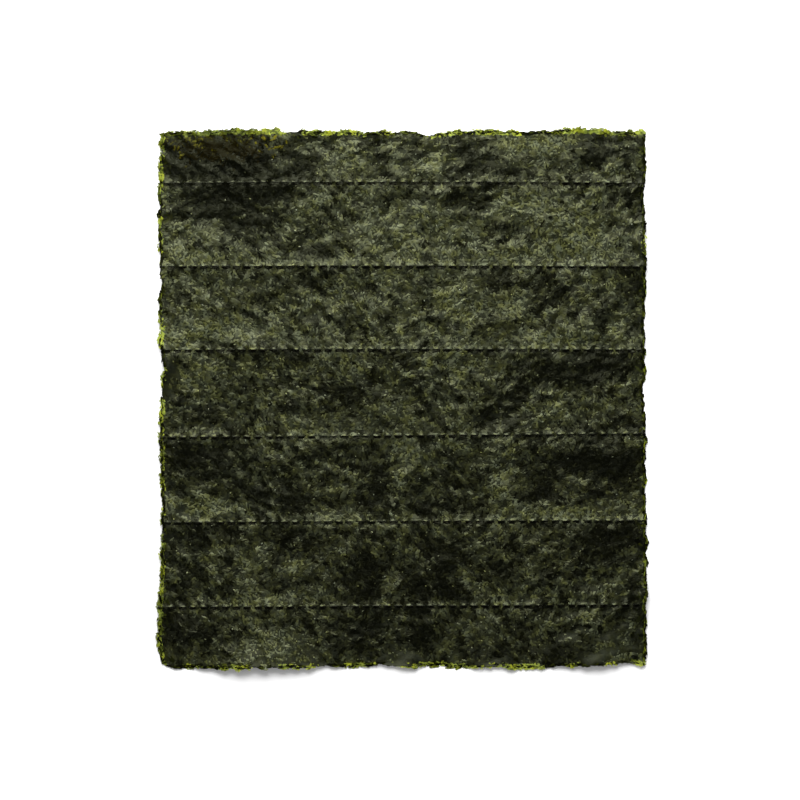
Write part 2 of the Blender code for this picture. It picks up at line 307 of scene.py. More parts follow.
# The mesh's columns to each slit or bridge, the length of its rows, and the extra rows beside each slit.
# Places nearer than SAME count as one.
CELL_COLUMNS = 3
LEAF_COLUMNS = 2 * SLITS_ACROSS * CELL_COLUMNS
LEAF_ROW = 1.4 * MM
LIP_ROWS = (0.35 * MM, 0.95 * MM)
SAME = 0.01 * MM


def bell(distance, half_width):
    """A soft hump: 1 in its middle, 0.37 at its half width, and close to 0 beyond twice that."""
    return np.exp(-((distance / half_width) ** 2))


def places_in_noise(x, y, wavelength, pattern):
    """The points of a pattern's slice of solid noise that lie over x and y."""
    points = np.broadcast_arrays(x / wavelength, y / wavelength, SLICES[pattern])
    return np.stack(points, axis=-1).reshape(-1, 3).tolist()


def wave(x, y, wavelength, pattern):
    """Smooth noise of about this wavelength at every x and y, from about -1 to 1."""
    heights = [noise.noise(point) for point in places_in_noise(x, y, wavelength, pattern)]
    return NOISE_GAIN * np.array(heights).reshape(np.shape(x))


def crumple(x, y):
    """Creased noise whose finer creases are as steep as its broad ones, from about -1 to 1."""
    heights = []
    for point in places_in_noise(x, y, CRUMPLE_WAVE, "crumple"):
        heights.append(noise.turbulence(point, CRUMPLE_OCTAVES, True, amplitude_scale=CRUMPLE_FADE))
    return 1 - 2 * np.array(heights).reshape(np.shape(x))


def upward_share(x, y):
    """1 where the pulp ran up to the right and 0 where it ran down, as on most of the sheet's left."""
    return np.clip(0.5 + x / SHEET_WIDTH + SLANT_CHANGE * wave(x, y, SLANT_WAVE, "slant"), 0, 1)


def slanted_patches(patches, x, y):
    """Patches drawn out along the way that the pulp ran as it was poured."""
    strengths = []
    for slant in (DOWN_SLANT, UP_SLANT):
        along = (x * math.cos(slant) + y * math.sin(slant)) / SLANT_STRETCH
        strengths.append(patches(along, y * math.cos(slant) - x * math.sin(slant)))
    share = upward_share(x, y)
    return strengths[0] * (1 - share) + strengths[1] * share


def cloud(x, y):
    """Soft clouds in the mat's colour, from about -1 to 1."""
    strengths = []
    for point in places_in_noise(x, y, CLOUD_WAVE, "cloud"):
        strengths.append(noise.fractal(point, CLOUD_FADE, CLOUD_STEP, CLOUD_OCTAVES))
    return np.array(strengths).reshape(np.shape(x))


def from_the_rim(edge, x, y):
    """Each point's place along one of the four edges, from its middle, and its distance inwards from it."""
    if edge in ("left", "right"):
        return y, SHEET_WIDTH / 2 + (x if edge == "left" else -x)
    return x, SHEET_LENGTH / 2 + (y if edge == "near" else -y)


def rim_closeness(x, y):
    """1 at the rim, dying away into the leaf."""
    inwards = np.minimum(SHEET_WIDTH / 2 - abs(x), SHEET_LENGTH / 2 - abs(y))
    return np.exp(-np.maximum(0.0, inwards) / THINNING_REACH)


def line_shift(line, x):
    """How far a tear line lies below its mean drop at x."""
    across = x / (SHEET_WIDTH / 2)
    return line.arch * (across**2 - 1 / 3) - line.rise * across / 2


def lines_shift(x, drop):
    """How far the leaf is drawn down with its tear lines at each drop."""
    stops = [(0.0, np.zeros_like(x))]
    stops += [(line.drop, line_shift(line, x)) for line in TEAR_LINES]
    stops += [(SHEET_LENGTH, np.zeros_like(x))]
    shift = np.zeros_like(x)
    for (start, start_shift), (end, end_shift) in zip(stops, stops[1:]):
        share = (drop - start) / (end - start)
        between = (share > 0) & (share <= 1)
        shift = np.where(between, start_shift + (end_shift - start_shift) * share, shift)
    return shift


def nearest_line(drop):
    """The number of the tear line nearest to each drop, and the distance beyond it."""
    beyond = np.array([line.drop for line in TEAR_LINES]) - np.asarray(drop)[..., None]
    number = abs(beyond).argmin(axis=-1)
    return number, np.take_along_axis(beyond, number[..., None], axis=-1)[..., 0]


def slit_share(number, x):
    """1 in the middle of a tear line's slits, and 0 in the middle of its bridges."""
    first_slit = SLIT_PITCH * np.where(number % 2 == 0, FIRST_SLIT_EVEN, FIRST_SLIT_ODD) + SLIT_SHIFT
    turns = (x + SHEET_WIDTH / 2 - first_slit) / SLIT_PITCH
    share = SLIT_SHARE_LEVEL + SLIT_SHARE_SWING * np.cos(2 * math.pi * turns)
    return np.clip(share, 0, 1)


def step_at(number, line, x, beyond):
    """The height that one tear line adds this far beyond it: a curled lip, or the foot before it."""
    curl = line.curl * (1 + CURL_VARIES * wave(x, np.full_like(x, line.drop), CURL_WAVE, "curl"))
    varies = 1 + LIP_VARIES * wave(x, np.full_like(x, line.drop), LIP_WAVE, "lip")
    lip = (LIP_HEIGHT + TOOTH_MARK_HEIGHT * slit_share(number, x)) * varies
    past = np.minimum(0.0, beyond)
    foot = curl * np.exp(past / CURL_FALL) - FOOT_DEPTH * slit_share(number, x) * np.exp(past / FOOT_REACH)
    before = np.maximum(0.0, beyond)
    stand = curl * np.exp(-before / CURL_REACH) + lip * np.exp(-before / LIP_REACH)
    return np.where(beyond < 0, foot, stand)


def scattered_creases(rng):
    """Short sharp creases, up and down, that run slantwise over the whole sheet, steep on one side."""
    x = rng.uniform(-SHEET_WIDTH / 2, SHEET_WIDTH / 2, CREASE_COUNT)
    y = rng.uniform(-SHEET_LENGTH / 2, SHEET_LENGTH / 2, CREASE_COUNT)
    half_long = rng.uniform(*CREASE_HALF_LONG, CREASE_COUNT)
    half_short = rng.uniform(*CREASE_HALF_SHORT, CREASE_COUNT)
    turn = rng.uniform(*CREASE_TURN, CREASE_COUNT) * rng.choice((-1, 1), CREASE_COUNT)
    height = rng.uniform(*CREASE_HEIGHT, CREASE_COUNT) * rng.choice((-1, 1), CREASE_COUNT)
    return [Buckle(*values) for values in zip(x, y, half_long, half_short, turn, height)]


CREASES = scattered_creases(np.random.default_rng(5))


def along_and_aside(buckle, x, y):
    """Each point's distances from a buckle's middle, along it and aside of it."""
    turn = math.radians(buckle.turn)
    along = (x - buckle.x) * math.cos(turn) + (y - buckle.y) * math.sin(turn)
    return along, (y - buckle.y) * math.cos(turn) - (x - buckle.x) * math.sin(turn)


def lie(x, drop):
    """The underside's height at each drop on the plan. Nothing goes below the table."""
    y = SHEET_LENGTH / 2 - drop
    height = LIE_HEIGHT + BROAD_HEIGHT * wave(x, y, BROAD_WAVE, "broad")
    height += CRINKLE_HEIGHT * wave(x, y, CRINKLE_WAVE, "crinkle")
    height += CRUMPLE_HEIGHT * slanted_patches(crumple, x, y)
    for buckle in BUCKLES:
        along, aside = along_and_aside(buckle, x, y)
        height += buckle.height * bell(along, buckle.half_long) * bell(aside, buckle.half_short)
    for crease in CREASES:
        along, aside = along_and_aside(crease, x, y)
        reach = crease.half_short * np.where(aside * crease.height > 0, CREASE_GENTLE, CREASE_STEEP)
        height += crease.height * bell(along, crease.half_long) * np.exp(-abs(aside) / reach)
    for lift in RIM_LIFTS:
        place, inwards = from_the_rim(lift.edge, x, y)
        height += lift.height * bell(place - lift.place, lift.half_width) * np.exp(-inwards / lift.reach)
    for number, line in enumerate(TEAR_LINES):
        height += step_at(number, line, x, line.drop - drop)
    return np.maximum(0.0, height)


def thickness(x, y):
    """The leaf is pressed thinner towards its rim."""
    return LEAF_THICKNESS - (LEAF_THICKNESS - RIM_THICKNESS) * rim_closeness(x, y)


def tone(x, y):
    """How much darker or paler the mat is painted at each place, from about -1 to 1: its own tone, painted
    sheen and shade, and painted shade at each slit's foot.
    """
    strength = CLOUD_STRENGTH * slanted_patches(cloud, x, y)
    # The casts add the mat's own tone together with painted sheen and shade.
    for cast in TONE_AND_SHADE_CASTS:
        across = cast.strength * bell(x - cast.x * MM, cast.half_x * MM)
        strength += across * bell(y - cast.y * MM, cast.half_y * MM)
    drop = SHEET_LENGTH / 2 - y
    number, beyond = nearest_line(drop - lines_shift(x, drop))
    # Painted shade at the foot of each slit, where its raised lip shades it.
    slit_shade_share = slit_share(number, x) * bell(beyond + SLIT_SHADE_PAST, SLIT_SHADE_REACH)
    return strength - SLIT_SHADE_DARKNESS * np.where(beyond < 0, slit_shade_share, 0)


def round_the_corners(x, y):
    """Draws the points in a corner's square back inside the corner's arc."""
    for (side, end), radius in CORNER_RADII.items():
        beyond_x = x * (-1 if side == "left" else 1) - (SHEET_WIDTH / 2 - radius)
        beyond_y = y * (-1 if end == "near" else 1) - (SHEET_LENGTH / 2 - radius)
        reach = np.hypot(beyond_x, beyond_y)
        outside = (np.minimum(beyond_x, beyond_y) > 0) & (reach > radius)
        pull = np.where(outside, 1 - radius / np.maximum(reach, SAME), 0)
        x = x - np.copysign(beyond_x * pull, x)
        y = y - np.copysign(beyond_y * pull, y)
    return x, y


def rim_outwards(x, y):
    """How far each point moves out with the outline, as dx and dy."""
    out = {edge: np.zeros_like(x) for edge in EDGES}
    for swell in RIM_SWELLS:
        place, inwards = from_the_rim(swell.edge, x, y)
        hump = swell.out * bell(place - swell.place, swell.half_width)
        out[swell.edge] += hump * np.exp(-inwards / SWELL_DEPTH)
    for number, edge in enumerate(EDGES):
        place, inwards = from_the_rim(edge, x, y)
        tooth = wave(place, np.full_like(place, number * SHEET_WIDTH), TOOTH_WAVE, "tooth")
        out[edge] += TOOTH_HEIGHT * tooth * np.clip(1 - inwards / TOOTH_WAVE, 0, 1)
    return out["right"] - out["left"], out["far"] - out["near"]


def leaf_rows():
    """The drops of the leaf's rows: even between the tear lines, and close together at each."""
    marks = [0.0]
    for line in TEAR_LINES:
        marks += [line.drop - SLIT_GAP / 2 - step for step in reversed(LIP_ROWS)]
        marks += [line.drop - SLIT_GAP / 2, line.drop + SLIT_GAP / 2]
        marks += [line.drop + SLIT_GAP / 2 + step for step in LIP_ROWS]
    marks.append(SHEET_LENGTH)
    drops = []
    for start, end in zip(marks, marks[1:]):
        steps = max(1, round((end - start) / LEAF_ROW))
        drops += [start + (end - start) * step / steps for step in range(steps)]
    return np.array(drops + [SHEET_LENGTH])


def cell_corner(corner, drop):
    """The x of the corners between slits and bridges. They are drawn apart only near a tear line."""
    number, beyond = nearest_line(drop)
    side = np.where((corner + number) % 2 == 0, 1, -1)
    widen = SLIT_LENGTH - SLIT_PITCH / 2
    x = SLIT_SHIFT - SHEET_WIDTH / 2 + corner * SLIT_PITCH / 2
    x = x + side * widen / 2 * bell(beyond, 2 * LIP_REACH)
    x = np.where(corner <= 0, -SHEET_WIDTH / 2, x)
    return np.where(corner >= 2 * SLITS_ACROSS, SHEET_WIDTH / 2, x)


def cut_the_slits(plan, drops):
    """Opens the slits, between the rows of each tear line's lip and foot."""
    rows = len(drops) - 1
    cut = []
    for face in plan.faces:
        middle = face.calc_center_median()
        row = int((0.5 - middle.y) * rows)
        drop = (drops[row] + drops[row + 1]) / 2
        number, beyond = nearest_line(drop)
        if abs(beyond) > SAME:
            continue
        cell = int((middle.x + 0.5) * 2 * SLITS_ACROSS)
        if (cell + number) % 2 == 1 and 0 < cell < 2 * SLITS_ACROSS - 1:
            cut.append(face)
    bmesh.ops.delete(plan, geom=cut, context="FACES")


def lay_the_leaf(plan, drops):
    """Moves the flat plan to the leaf's real outline and lie."""
    flat = np.array([vert.co for vert in plan.verts])
    drop = drops[np.round((0.5 - flat[:, 1]) * (len(drops) - 1)).astype(int)]
    column = np.round((flat[:, 0] + 0.5) * LEAF_COLUMNS).astype(int)
    corner, share = column // CELL_COLUMNS, column % CELL_COLUMNS / CELL_COLUMNS
    x = cell_corner(corner, drop) * (1 - share) + cell_corner(corner + 1, drop) * share
    height = lie(x, drop)
    number, beyond = nearest_line(drop)
    under_the_lip = (beyond < 0) & (beyond > -SLIT_GAP)
    y = SHEET_LENGTH / 2 - drop - lines_shift(x, drop)
    y = y + np.where(under_the_lip, SLIT_OVERHANG * slit_share(number, x), 0)
    x, y = round_the_corners(x, y)
    out_x, out_y = rim_outwards(x, y)
    for vert, place in zip(plan.verts, np.column_stack((x + out_x, y + out_y, height)).tolist()):
        vert.co = place


def pressed_leaf():
    """The leaf as one closed thin solid."""
    drops = leaf_rows()
    plan = bmesh.new()
    bmesh.ops.create_grid(plan, x_segments=LEAF_COLUMNS, y_segments=len(drops) - 1, size=0.5)
    cut_the_slits(plan, drops)
    lay_the_leaf(plan, drops)
    bmesh.ops.triangulate(plan, faces=plan.faces[:], quad_method="SHORT_EDGE")
    raised = bmesh.ops.extrude_face_region(plan, geom=plan.faces[:], use_keep_orig=True)
    verts = [item for item in raised["geom"] if isinstance(item, bmesh.types.BMVert)]
    top = np.array([vert.co for vert in verts])
    for vert, rise in zip(verts, thickness(top[:, 0], top[:, 1]).tolist()):
        vert.co.z += rise
    bmesh.ops.recalc_face_normals(plan, faces=plan.faces[:])
    mesh = bpy.data.meshes.new("nori_leaf")
    plan.to_mesh(mesh)
    plan.free()
    return mesh


def mesh_points(mesh):
    """The places of a mesh's points, one row each."""
    places = np.empty(3 * len(mesh.vertices))
    mesh.vertices.foreach_get("co", places)
    return places.reshape(-1, 3)


ROUGHER_WHERE_PALE = 0.12
NOISE_MIDDLE = 0.5
MOTTLE_GAIN = 2.0
HUE_PATCH_ENDS = (0.4, 0.6)
HUE_STRENGTH = 1.0
GREYER_HUE = (0.92, 0.98, 1.3, 1)
YELLOWER_HUE = (1.04, 1.02, 0.55, 1)


def seaweed_colours():
    """Roasted laver: black-green where thick, olive on its shreds, and yellow-green where it is thin."""
    group = bpy.data.node_groups.new("seaweed colours", "ShaderNodeTree")
    for name, kind, default in (
        ("Dark", "NodeSocketColor", (0.006, 0.007, 0.0035, 1)),
        ("Olive", "NodeSocketColor", (0.035, 0.043, 0.013, 1)),
        ("Thin", "NodeSocketColor", (0.3, 0.36, 0.03, 1)),
        ("Mottle Scale", "NodeSocketFloat", 700.0),
        ("Paleness", "NodeSocketFloat", 0.4),
        ("Contrast", "NodeSocketFloat", 1.0),
        ("Roughness", "NodeSocketFloat", 0.45),
        ("Hue Scale", "NodeSocketFloat", 380.0),
    ):
        group.interface.new_socket(name, in_out="INPUT", socket_type=kind).default_value = default
    for name, kind in (
        ("Colour", "NodeSocketColor"),
        ("Roughness", "NodeSocketFloat"),
        ("Height", "NodeSocketFloat"),
    ):
        group.interface.new_socket(name, in_out="OUTPUT", socket_type=kind)
    given = group.nodes.new("NodeGroupInput")
    put_out = group.nodes.new("NodeGroupOutput")

    def node(kind, settings=(), **inputs):
        made = group.nodes.new(kind)
        for name, value in dict(settings).items():
            setattr(made, name, value)
        for name, value in inputs.items():
            socket = made.inputs[int(name[1:])] if name[0] == "_" else made.inputs[name]
            if isinstance(value, bpy.types.NodeSocket):
                group.links.new(value, socket)
            else:
                socket.default_value = value
        return made

    place = node("ShaderNodeTexCoord").outputs["Object"]
    tone_value = node("ShaderNodeAttribute", {"attribute_name": "tone"}).outputs["Fac"]
    rim_value = node("ShaderNodeAttribute", {"attribute_name": "rim"}).outputs["Fac"]
    mottle_scale = given.outputs["Mottle Scale"]
    mottle = node("ShaderNodeTexNoise", Vector=place, Scale=mottle_scale, Detail=3.0, Roughness=0.6)
    mottle = mottle.outputs["Fac"]
    even = node("ShaderNodeMath", {"operation": "SUBTRACT"}, _0=mottle, _1=NOISE_MIDDLE).outputs[0]
    shift = {"operation": "MULTIPLY_ADD"}
    mottled = node("ShaderNodeMath", shift, _0=even, _1=MOTTLE_GAIN, _2=tone_value).outputs[0]
    spread = {"operation": "MULTIPLY_ADD", "use_clamp": True}
    contrast, paleness = given.outputs["Contrast"], given.outputs["Paleness"]
    share = node("ShaderNodeMath", spread, _0=mottled, _1=contrast, _2=paleness)
    mixed = node("ShaderNodeMix", {"data_type": "RGBA"}, Factor=share.outputs[0])
    group.links.new(given.outputs["Dark"], mixed.inputs["A"])
    group.links.new(given.outputs["Olive"], mixed.inputs["B"])
    thin = node("ShaderNodeMix", {"data_type": "RGBA"}, Factor=rim_value)
    group.links.new(mixed.outputs["Result"], thin.inputs["A"])
    group.links.new(given.outputs["Thin"], thin.inputs["B"])
    rough = node("ShaderNodeMath", spread, _0=mottled, _1=ROUGHER_WHERE_PALE, _2=given.outputs["Roughness"])
    hue_scale = given.outputs["Hue Scale"]
    patches = node("ShaderNodeTexNoise", Vector=place, Scale=hue_scale, Detail=2.0, Roughness=0.6)
    yellowness = node("ShaderNodeMapRange", Value=patches.outputs["Fac"])
    yellowness.inputs["From Min"].default_value = HUE_PATCH_ENDS[0]
    yellowness.inputs["From Max"].default_value = HUE_PATCH_ENDS[1]
    hue = node("ShaderNodeMix", {"data_type": "RGBA"}, Factor=yellowness.outputs["Result"])
    hue.inputs["A"].default_value = GREYER_HUE
    hue.inputs["B"].default_value = YELLOWER_HUE
    tinted = node("ShaderNodeMix", {"data_type": "RGBA", "blend_type": "MULTIPLY"}, Factor=HUE_STRENGTH)
    group.links.new(thin.outputs["Result"], tinted.inputs["A"])
    group.links.new(hue.outputs["Result"], tinted.inputs["B"])
    group.links.new(tinted.outputs["Result"], put_out.inputs["Colour"])
    group.links.new(rough.outputs[0], put_out.inputs["Roughness"])
    group.links.new(mottle, put_out.inputs["Height"])
    return group


SEAWEED_COLOURS = seaweed_colours()
SEAWEED_ROUGHNESS = 0.38
BUMP_HEIGHT = 0.12 * MM


def seaweed(name, dark, olive, thin, mottle_scale, paleness, contrast, bump, gloss, tint, alpha=1.0):
    """A seaweed finish: the shared colours, with a fine dry bump and a dull sheen."""
    material = bpy.data.materials.new(name)
    material.use_nodes = True
    tree = material.node_tree
    shader = tree.nodes["Principled BSDF"]
    shader.inputs["Alpha"].default_value = alpha
    shader.inputs["Specular IOR Level"].default_value = gloss
    shader.inputs["Specular Tint"].default_value = (*tint, 1)
    colours = tree.nodes.new("ShaderNodeGroup")
    colours.node_tree = SEAWEED_COLOURS
    for socket, value in (
        ("Dark", (*dark, 1)),
        ("Olive", (*olive, 1)),
        ("Thin", (*thin, 1)),
        ("Mottle Scale", mottle_scale),
        ("Paleness", paleness),
        ("Contrast", contrast),
        ("Roughness", SEAWEED_ROUGHNESS),
    ):
        colours.inputs[socket].default_value = value
    dry = tree.nodes.new("ShaderNodeBump")
    dry.inputs["Strength"].default_value = bump
    dry.inputs["Distance"].default_value = BUMP_HEIGHT
    tree.links.new(colours.outputs["Colour"], shader.inputs["Base Color"])
    tree.links.new(colours.outputs["Roughness"], shader.inputs["Roughness"])
    tree.links.new(colours.outputs["Height"], dry.inputs["Height"])
    tree.links.new(dry.outputs["Normal"], shader.inputs["Normal"])
    return material


def finish_piece(mesh, material, tones, rims, smooth_under=40):
    """Centres a mesh of the sheet's places, stores its tones, and makes it a piece of the sheet."""
    for layer, values in (("tone", tones), ("rim", rims)):
        mesh.attributes.new(layer, "FLOAT", "POINT").data.foreach_set("value", values.astype(np.float32))
    mesh.vertices.foreach_set("co", (mesh_points(mesh) + TO_THE_MIDDLE).ravel())
    mesh.shade_smooth()
    mesh.set_sharp_from_angle(angle=math.radians(smooth_under))
    mesh.materials.append(material)
    made = bpy.data.objects.new(mesh.name, mesh)
    bpy.context.scene.collection.objects.link(made)
    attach(made, "root")
    return made


leaf_mesh = pressed_leaf()
leaf_points = mesh_points(leaf_mesh)
TO_THE_MIDDLE = -(leaf_points.min(axis=0) + leaf_points.max(axis=0)) / 2
TO_THE_MIDDLE[2] = 0
leaf = finish_piece(
    leaf_mesh,
    seaweed(
        "pressed seaweed",
        dark=(0.0005, 0.0006, 0.0003),
        olive=(0.009, 0.0102, 0.0043),
        thin=(0.07, 0.09, 0.008),
        mottle_scale=900.0,
        paleness=0.4,
        contrast=0.9,
        bump=0.6,
        gloss=0.11,
        tint=(0.94, 1.0, 0.66),
    ),
    tones=tone(leaf_points[:, 0], leaf_points[:, 1]),
    rims=0.0 * leaf_points[:, 0],
    smooth_under=60,
)
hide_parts("nori_sheet")

# ---------------------------------------------------------------------------------------------------------
# The flakes: the larger bits of seaweed in the mat, flat and thin as paper. They lie close on the leaf, and
# the blade parted those it met, so that none lies across a tear line.

FLAKE_COUNT = 4500
FLAKE_LENGTHS = (1.6 * MM, 5.0 * MM)
FLAKE_WIDTHS = (0.9 * MM, 2.6 * MM)
FLAKE_SHORTNESS = 1.5
BitShape = namedtuple("BitShape", "corners raggedness bend tilt thickness lift")
FLAKE_SHAPE = BitShape(
    corners=9, raggedness=0.28, bend=0.05, tilt=4, thickness=0.05 * MM, lift=(0.0, 0.04 * MM)
)
PITCH_SHARE = 0.4
LINE_CLEARANCE = 0.1 * MM
SLIT_CLEARANCE = 0.7 * MM
RIM_CLEARANCE = 0.3 * MM
RIM_OVERHANG = 0.6 * MM
FLOW_WAVE = 18 * MM
FLOW_TURN = math.radians(75)
FLOW_SPREAD = math.radians(48)


def underside(x, y):
    """The height of the leaf's underside at each place."""
    drop = SHEET_LENGTH / 2 - y
    return lie(x, drop - lines_shift(x, drop))


def surface(x, y):
    """The height of the leaf's upper side at each place."""
    return underside(x, y) + thickness(x, y)


def keep_off_the_lines(x, y, half_span):
    """Moves the middles of shreds so that none lies across a tear line or its slits."""
    drop = SHEET_LENGTH / 2 - y
    drop = drop - lines_shift(x, drop)
    number, beyond = nearest_line(drop)
    clear = half_span + LINE_CLEARANCE + np.where(beyond < 0, SLIT_CLEARANCE * slit_share(number, x), 0)
    return y + np.sign(beyond) * np.maximum(0.0, clear - abs(beyond))


def scattered(rng, count, lengths, widths, shortness):
    """The places, turns, lengths and widths of bits spread evenly over the sheet, each a little astray.

    The greater the shortness, the commoner the short ones.
    """
    across = round(math.sqrt(count * SHEET_WIDTH / SHEET_LENGTH))
    down = round(count / across)
    column, row = np.meshgrid(np.arange(across), np.arange(down))
    x = ((column + rng.random((down, across))).ravel() / across - 0.5) * (SHEET_WIDTH - 2 * RIM_CLEARANCE)
    y = ((row + rng.random((down, across))).ravel() / down - 0.5) * (SHEET_LENGTH - 2 * RIM_CLEARANCE)
    slant = DOWN_SLANT + (UP_SLANT - DOWN_SLANT) * upward_share(x, y)
    turn = slant + FLOW_TURN * wave(x, y, FLOW_WAVE, "flow") + rng.normal(0, FLOW_SPREAD, len(x))
    length = lengths[0] + (lengths[1] - lengths[0]) * rng.random(len(x)) ** shortness
    width = rng.uniform(*widths, len(x))
    half_span_x = (length * abs(np.cos(turn)) + width * abs(np.sin(turn))) / 2
    half_span_y = (length * abs(np.sin(turn)) + width * abs(np.cos(turn))) / 2
    reach_x = SHEET_WIDTH / 2 + RIM_OVERHANG - half_span_x
    reach_y = SHEET_LENGTH / 2 + RIM_OVERHANG - half_span_y
    x = np.clip(x, -reach_x, reach_x)
    y = np.clip(keep_off_the_lines(x, y, half_span_y), -reach_y, reach_y)
    end_x = x + np.copysign(half_span_x, x)
    end_y = y + np.copysign(half_span_y, y)
    round_x, round_y = round_the_corners(end_x, end_y)
    x, y = x + round_x - end_x, y + round_y - end_y
    out_x, out_y = rim_outwards(x, y)
    return x + out_x, y + out_y, turn, length, width


def turned(x, y, turn, forward, aside):
    """The x and y of corners given forward and aside of turned middles, one row for each middle."""
    x, y, turn = x[:, None], y[:, None], turn[:, None]
    across = x + np.cos(turn) * forward - np.sin(turn) * aside
    return across, y + np.sin(turn) * forward + np.cos(turn) * aside


def lay_bits(rng, shape, side, x, y, turn, length, width):
    """The corners of bits laid on a side of the leaf: ragged outlines, then the middles above and below."""
    count = len(x)
    around = 2 * math.pi * np.arange(shape.corners) / shape.corners
    reach = 1 - shape.raggedness * rng.random((count, shape.corners))
    middles = np.zeros((count, 2))
    forward = np.hstack((length[:, None] / 2 * np.cos(around) * reach, middles))
    aside = np.hstack((width[:, None] / 2 * np.sin(around) * reach, middles))
    bend = (length * rng.uniform(-shape.bend, shape.bend, count))[:, None]
    bent = aside + bend * (1 - (2 * forward / length[:, None]) ** 2)
    corner_x, corner_y = turned(x, y, turn, forward, bent)
    pitch, roll = np.tan(np.radians(rng.uniform(-shape.tilt, shape.tilt, (2, count, 1))))
    height = side(corner_x, corner_y) + PITCH_SHARE * pitch * forward + roll * aside
    height += rng.uniform(*shape.lift, (count, 1))
    height[:, -2] += shape.thickness / 2
    height[:, -1] -= shape.thickness / 2
    return np.stack((corner_x, corner_y, np.maximum(0.0, height)), axis=-1)


def joined_mesh(name, corners):
    """One joined mesh of many bits: faces from each outline to its middle above and its middle below."""
    outline = corners.shape[1] - 2
    one = []
    for corner in range(outline):
        after = (corner + 1) % outline
        one += [(corner, after, outline), (after, corner, outline + 1)]
    faces = np.array(one) + corners.shape[1] * np.arange(len(corners))[:, None, None]
    mesh = bpy.data.meshes.new(name)
    mesh.from_pydata(corners.reshape(-1, 3).tolist(), [], faces.reshape(-1, 3).tolist())
    return mesh


BitKind = namedtuple("BitKind", "name share dark olive paleness contrast gloss alpha", defaults=(1.0,))
KIND_STRAY = 0.24
CLUMP_WAVE = 2.0 * MM
CLUMP_STRENGTH = 0.32
TONE_SPREAD = 0.09
THIN_FEW = 6
THIN_NEAR_RIM = 3


def clump(x, y):
    """Small clumps of like bits, from about -1 to 1."""
    return wave(x, y, CLUMP_WAVE, "clump")


def make_pieces(rng, stem, kinds, shape, bits, side=surface):
    """Lays bits on a side of the leaf and makes a piece of each kind, the paler where the mat's tone,
    painted sheen and shade included, is paler.
    """
    x, y = bits[0], bits[1]
    corners = lay_bits(rng, shape, side, *bits)
    tone_and_shade = tone(x, y) + CLUMP_STRENGTH * slanted_patches(clump, x, y)
    tones = tone_and_shade + rng.normal(0, TONE_SPREAD, len(x))
    rims = rng.random(len(x)) ** THIN_FEW * rim_closeness(x, y) ** THIN_NEAR_RIM
    ranks = (KIND_STRAY * rng.random(len(x)) + tone_and_shade).argsort().argsort() / len(x)
    share_before = 0
    for kind in kinds:
        chosen = (ranks >= share_before) & (ranks < share_before + kind.share)
        share_before += kind.share
        finish_piece(
            joined_mesh(f"{stem}_{kind.name}", corners[chosen]),
            seaweed(
                f"{kind.name} {stem.replace('_', ' ')}",
                dark=kind.dark,
                olive=kind.olive,
                thin=(0.16, 0.19, 0.02),
                mottle_scale=800.0,
                paleness=kind.paleness,
                contrast=kind.contrast,
                bump=0.2,
                gloss=kind.gloss,
                tint=(0.94, 1.0, 0.6),
                alpha=kind.alpha,
            ),
            tones=np.repeat(tones[chosen], corners.shape[1]),
            rims=np.repeat(rims[chosen], corners.shape[1]),
        )


FLAKE_KINDS = [
    BitKind("dark", 0.5, (0.0005, 0.0006, 0.0002), (0.0031, 0.0034, 0.0014), 0.4, 0.8, 0.035),
    BitKind("olive", 0.5, (0.0016, 0.0018, 0.0008), (0.0138, 0.0154, 0.0056), 0.45, 0.9, 0.22),
]
flake_rng = np.random.default_rng(3)
flakes = scattered(flake_rng, FLAKE_COUNT, FLAKE_LENGTHS, FLAKE_WIDTHS, FLAKE_SHORTNESS)
make_pieces(flake_rng, "seaweed_flakes", FLAKE_KINDS, FLAKE_SHAPE, flakes)

# ---------------------------------------------------------------------------------------------------------
# The shreds: the chopped seaweed that the leaf is matted from, lying all ways in and on its surface. They
# stuck to each other as the mat dried. Some still cross the bridges between the slits.

SHRED_COUNT = 42000
SHRED_LENGTHS = (1.0 * MM, 3.6 * MM)
SHRED_WIDTHS = (0.6 * MM, 1.35 * MM)
SHRED_SHORTNESS = 1.4
SHRED_SHAPE = BitShape(
    corners=6, raggedness=0.22, bend=0.09, tilt=7, thickness=0.14 * MM, lift=(-0.04 * MM, 0.05 * MM)
)

# Shreds along the tear lines: a phase of 0.75 sets them at the slits, and one of 0.25 at the bridges
# between them.
LineShreds = namedtuple("LineShreds", "phase each below stray_x stray_y turn spread lengths widths")
BRIDGE_SHREDS = LineShreds(
    phase=0.25,
    each=4,
    below=0.1 * MM,
    stray_x=0.5 * MM,
    stray_y=0.35 * MM,
    turn=math.radians(90),
    spread=math.radians(30),
    lengths=(1.2 * MM, 2.6 * MM),
    widths=(0.45 * MM, 0.9 * MM),
)
# These near-black shreds at each slit's foot paint the shade of its raised lip.
SLIT_SHADE_SHREDS = LineShreds(
    phase=0.75,
    each=6,
    below=0.5 * MM,
    stray_x=0.95 * MM,
    stray_y=0.12 * MM,
    turn=0.0,
    spread=math.radians(7),
    lengths=(0.9 * MM, 1.5 * MM),
    widths=(0.6 * MM, 0.85 * MM),
)
SLIT_SHADE_SHAPE = SHRED_SHAPE._replace(tilt=3, thickness=0.06 * MM, lift=(0.0, 0.05 * MM))
# These pale shreds on each slit's lip paint its highlight.
LIP_HIGHLIGHT_SHREDS = LineShreds(
    phase=0.75,
    each=1,
    below=-0.55 * MM,
    stray_x=0.8 * MM,
    stray_y=0.15 * MM,
    turn=0.0,
    spread=math.radians(10),
    lengths=(1.4 * MM, 2.4 * MM),
    widths=(0.55 * MM, 0.9 * MM),
)
LIP_HIGHLIGHT_SHAPE = SHRED_SHAPE._replace(tilt=4, thickness=0.12 * MM, lift=(0.04 * MM, 0.1 * MM))


